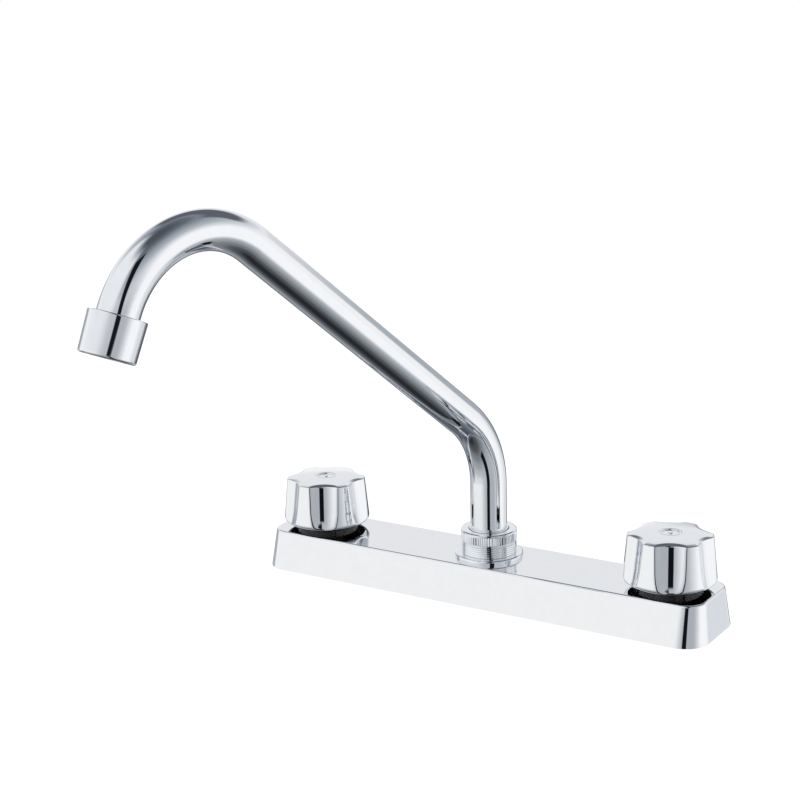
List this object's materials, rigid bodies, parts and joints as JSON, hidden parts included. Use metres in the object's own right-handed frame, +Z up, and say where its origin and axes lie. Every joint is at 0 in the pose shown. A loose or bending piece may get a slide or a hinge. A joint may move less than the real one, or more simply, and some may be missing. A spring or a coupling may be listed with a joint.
{
  "type": "two handle kitchen faucet",
  "caption": "Deck mounted kitchen faucet: long tapered deck plate, fluted round handles at its ends and a bent swivelling spout with an aerator.",
  "frame": {"origin": "centre of the deck plate's underside, on the face of the deck, midway between the two valves", "axes": "+Z up, away from the deck; +X along the deck plate towards the cold (right) handle; -Y towards the user and the sink"},
  "size_m": [0.2558, 0.263, 0.2733],
  "materials": {
    "chrome_plate": "polished",
    "raw_brass": "satin",
    "lock_nut_brass": "satin",
    "steel": "satin",
    "black_rubber": "matte",
    "black_plastic": "matte",
    "white_plastic": "matte",
    "ceramic": "gloss"
  },
  "bodies": {
    "base": {"deck_plate": "chrome_plate", "deck_gasket": "black_rubber", "spout_hub": "raw_brass", "hub_flange": "chrome_plate", "spout_nut": "chrome_plate", "lower_slip_washer": "white_plastic", "upper_slip_washer": "white_plastic", "hot_crossover_tube": "raw_brass", "cold_crossover_tube": "raw_brass", "hot_valve_body": "raw_brass", "hot_plate_nut": "black_plastic", "hot_deck_washer": "white_plastic", "hot_lock_nut": "lock_nut_brass", "hot_cartridge_body": "raw_brass", "hot_collar_seal": "black_rubber", "hot_seat_seal": "black_rubber", "hot_fixed_disc": "ceramic", "cold_valve_body": "raw_brass", "cold_plate_nut": "black_plastic", "cold_deck_washer": "white_plastic", "cold_lock_nut": "lock_nut_brass", "cold_cartridge_body": "raw_brass", "cold_collar_seal": "black_rubber", "cold_seat_seal": "black_rubber", "cold_fixed_disc": "ceramic"},
    "spout": {"spout_tube": "chrome_plate", "spout_tail": "raw_brass", "spout_upper_o_ring": "black_rubber", "spout_lower_o_ring": "black_rubber", "spout_collar_ring": "chrome_plate", "spout_tip_adapter": "raw_brass", "aerator_housing": "chrome_plate", "aerator_washer": "black_rubber", "aerator_screen": "steel", "aerator_insert": "white_plastic"},
    "hot_handle": {"hot_knob": "chrome_plate", "hot_index_button": "chrome_plate", "hot_handle_screw": "steel", "hot_spindle": "raw_brass", "hot_moving_disc": "ceramic", "hot_stem_ring": "black_rubber", "hot_spindle_clip": "steel"},
    "cold_handle": {"cold_knob": "chrome_plate", "cold_index_button": "chrome_plate", "cold_handle_screw": "steel", "cold_spindle": "raw_brass", "cold_moving_disc": "ceramic", "cold_stem_ring": "black_rubber", "cold_spindle_clip": "steel"}
  },
  "joints": [
    {"name": "spout_swivel", "type": "hinge", "parent": "base", "child": "spout", "pos_m": [0, 0, 0.025], "axis": [0, 0, 1], "continuous": true},
    {"name": "hot_handle_turn", "type": "hinge", "parent": "base", "child": "hot_handle", "pos_m": [-0.1016, 0, 0.035], "axis": [0, 0, 1], "range_deg": [0, 90]},
    {"name": "cold_handle_turn", "type": "hinge", "parent": "base", "child": "cold_handle", "pos_m": [0.1016, 0, 0.035], "axis": [0, 0, 1], "range_deg": [-90, 0]}
  ]
}
